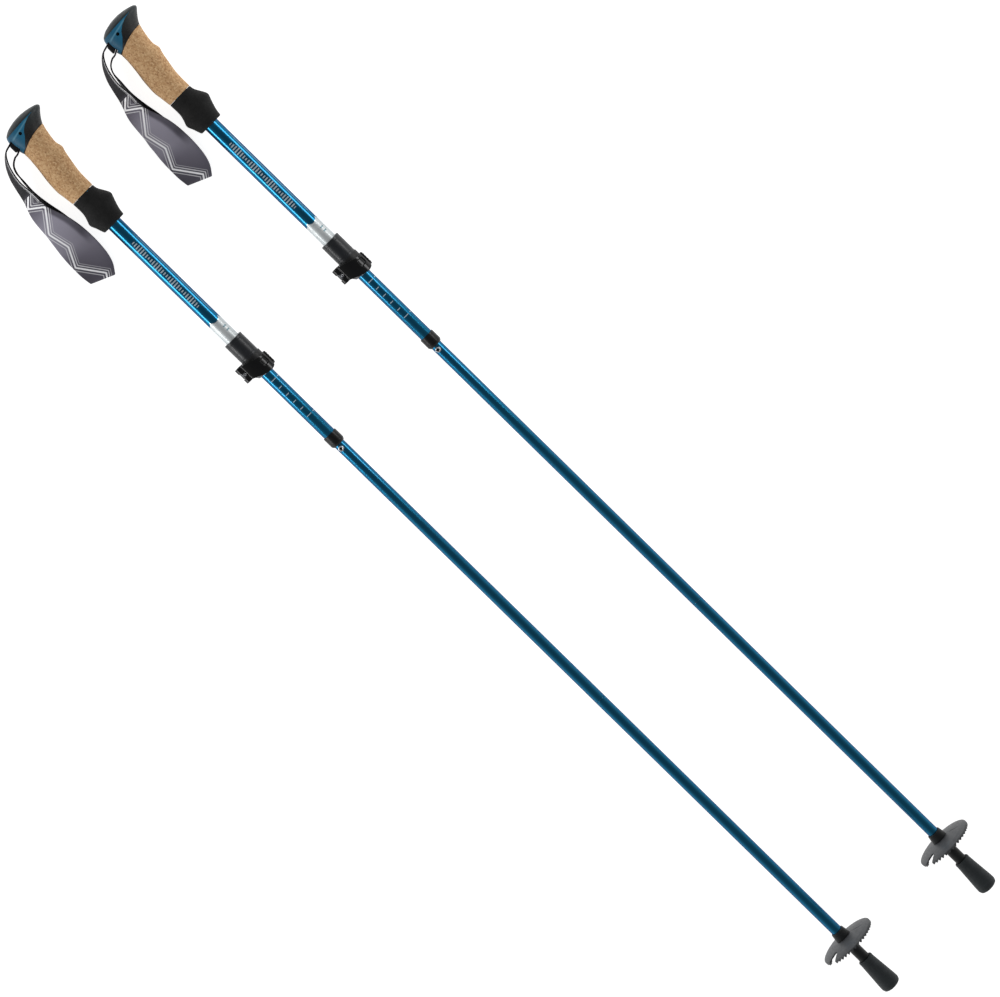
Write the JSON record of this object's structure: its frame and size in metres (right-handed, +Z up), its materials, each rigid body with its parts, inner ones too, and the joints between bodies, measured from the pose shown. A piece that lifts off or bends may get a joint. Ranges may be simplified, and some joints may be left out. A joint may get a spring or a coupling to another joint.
{
  "type": "trekking poles",
  "caption": "Folding, length-adjustable trekking poles with cork grips, wrist straps, flip locks, spring buttons, baskets and rubber feet.",
  "frame": {"origin": "middle of the pair's bounding box, on the floor that the poles lie on", "axes": "+X down the shafts from the grips to the feet, +Y the way the noses of the heads point, +Z up from the floor"},
  "size_m": [1.2648, 0.2338, 0.0642],
  "materials": {
    "black_plastic": "fine-textured moulded black plastic",
    "blue_plastic": "smooth hard blue plastic",
    "cork": "granulated cork, matt",
    "foam": "matt black foam rubber",
    "webbing": "printed polyester webbing",
    "blue_anodised": "blue anodised tube with printed marks",
    "sleeve_plastic": "dark grey moulded nylon",
    "chrome": "polished plated steel",
    "spring_steel": "plain spring steel",
    "white_plastic": "natural low-friction plastic",
    "cord": "braided cord",
    "carbide": "ground tungsten carbide",
    "grey_plastic": "dark grey moulded nylon",
    "rubber": "dark grey moulded rubber"
  },
  "bodies": {
    "right_handle": {"right_grip_cap": "black_plastic", "right_grip_core": "blue_plastic", "right_strap_pin": "spring_steel", "right_wrist_strap": "webbing", "right_cork_grip": "cork", "right_grip_flare": "foam", "right_upper_tube": "blue_anodised", "right_clamp_body": "sleeve_plastic", "right_lever_pin": "chrome"},
    "right_wedge": {"right_strap_wedge": "black_plastic"},
    "right_lever": {"right_clamp_lever": "black_plastic"},
    "right_screw": {"right_tension_screw": "chrome"},
    "right_shaft": {"right_middle_tube": "blue_anodised", "right_guide_bush": "white_plastic", "right_middle_collar": "black_plastic", "right_lower_tube": "blue_anodised", "right_button_spring": "spring_steel", "right_upper_cord_anchor": "black_plastic", "right_tension_cord": "cord"},
    "right_button": {"right_lock_button": "chrome"},
    "right_tip_section": {"right_tube_ferrule": "spring_steel", "right_tip_tube": "blue_anodised", "right_lower_cord_anchor": "black_plastic", "right_tip_ferrule": "black_plastic", "right_carbide_tip": "carbide"},
    "right_basket_ring": {"right_basket": "grey_plastic"},
    "right_foot": {"right_rubber_foot": "rubber"},
    "left_handle": {"left_grip_cap": "black_plastic", "left_grip_core": "blue_plastic", "left_strap_pin": "spring_steel", "left_wrist_strap": "webbing", "left_cork_grip": "cork", "left_grip_flare": "foam", "left_upper_tube": "blue_anodised", "left_clamp_body": "sleeve_plastic", "left_lever_pin": "chrome"},
    "left_wedge": {"left_strap_wedge": "black_plastic"},
    "left_lever": {"left_clamp_lever": "black_plastic"},
    "left_screw": {"left_tension_screw": "chrome"},
    "left_shaft": {"left_middle_tube": "blue_anodised", "left_guide_bush": "white_plastic", "left_middle_collar": "black_plastic", "left_lower_tube": "blue_anodised", "left_button_spring": "spring_steel", "left_upper_cord_anchor": "black_plastic", "left_tension_cord": "cord"},
    "left_button": {"left_lock_button": "chrome"},
    "left_tip_section": {"left_tube_ferrule": "spring_steel", "left_tip_tube": "blue_anodised", "left_lower_cord_anchor": "black_plastic", "left_tip_ferrule": "black_plastic", "left_carbide_tip": "carbide"},
    "left_basket_ring": {"left_basket": "grey_plastic"},
    "left_foot": {"left_rubber_foot": "rubber"}
  },
  "joints": [
    {"name": "right_wedge_slide", "type": "slide", "parent": "right_handle", "child": "right_wedge", "axis": [0.3664, -0.9305, 0.005], "range_m": [0, 0.004]},
    {"name": "right_lever_hinge", "type": "hinge", "parent": "right_handle", "child": "right_lever", "pos_m": [-0.29463, 0.06623, 0.02771], "axis": [0.9999, 0.0024, 0.0136], "range_deg": [0, 130]},
    {"name": "right_screw_turn", "type": "hinge", "parent": "right_handle", "child": "right_screw", "pos_m": [-0.29453, 0.06623, 0.02051], "axis": [-0.0136, 0, 0.9999], "range_deg": [-180, 180]},
    {"name": "right_length_slide", "type": "slide", "parent": "right_handle", "child": "right_shaft", "axis": [0.9999, 0.0024, 0.0136], "range_m": [-0.085, 0.065]},
    {"name": "right_button_press", "type": "slide", "parent": "right_shaft", "child": "right_button", "axis": [0.0123, 0.2924, -0.9562], "range_m": [0, 0.002], "stiffness_N_per_m": 150, "springref_m": -0.004, "deforming": ["right_button_spring"]},
    {"name": "right_fold_pull", "type": "slide", "parent": "right_shaft", "child": "right_tip_section", "axis": [0.9999, 0.0024, 0.0136], "range_m": [0, 0.04], "stiffness_N_per_m": 150, "springref_m": -0.04},
    {"name": "right_basket_turn", "type": "hinge", "parent": "right_tip_section", "child": "right_basket_ring", "pos_m": [0.55735, 0.08492, 0.03214], "axis": [0.9999, 0.0024, 0.0136], "continuous": true},
    {"name": "right_foot_pull", "type": "slide", "parent": "right_tip_section", "child": "right_foot", "axis": [0.9999, 0.0024, 0.0136], "range_m": [0, 0.03]},
    {"name": "left_wedge_slide", "type": "slide", "parent": "left_handle", "child": "left_wedge", "axis": [0.3618, -0.9322, 0.005], "range_m": [0, 0.004]},
    {"name": "left_lever_hinge", "type": "hinge", "parent": "left_handle", "child": "left_lever", "pos_m": [-0.29471, -0.07263, 0.02771], "axis": [0.9999, -0.0024, 0.0136], "range_deg": [0, 130]},
    {"name": "left_screw_turn", "type": "hinge", "parent": "left_handle", "child": "left_screw", "pos_m": [-0.29461, -0.07263, 0.02051], "axis": [-0.0136, 0, 0.9999], "range_deg": [-180, 180]},
    {"name": "left_length_slide", "type": "slide", "parent": "left_handle", "child": "left_shaft", "axis": [0.9999, -0.0024, 0.0136], "range_m": [-0.085, 0.065]},
    {"name": "left_button_press", "type": "slide", "parent": "left_shaft", "child": "left_button", "axis": [0.0138, 0.2923, -0.9562], "range_m": [0, 0.002], "stiffness_N_per_m": 150, "springref_m": -0.004, "deforming": ["left_button_spring"]},
    {"name": "left_fold_pull", "type": "slide", "parent": "left_shaft", "child": "left_tip_section", "axis": [0.9999, -0.0024, 0.0136], "range_m": [0, 0.04], "stiffness_N_per_m": 150, "springref_m": -0.04},
    {"name": "left_basket_turn", "type": "hinge", "parent": "left_tip_section", "child": "left_basket_ring", "pos_m": [0.55735, -0.05811, 0.03214], "axis": [0.9999, -0.0024, 0.0136], "continuous": true},
    {"name": "left_foot_pull", "type": "slide", "parent": "left_tip_section", "child": "left_foot", "axis": [0.9999, -0.0024, 0.0136], "range_m": [0, 0.03]},
    {"name": "poles_apart", "type": "slide", "parent": "right_handle", "child": "left_handle", "axis": [0, -1, 0], "range_m": [-0.02, 0.25]}
  ]
}
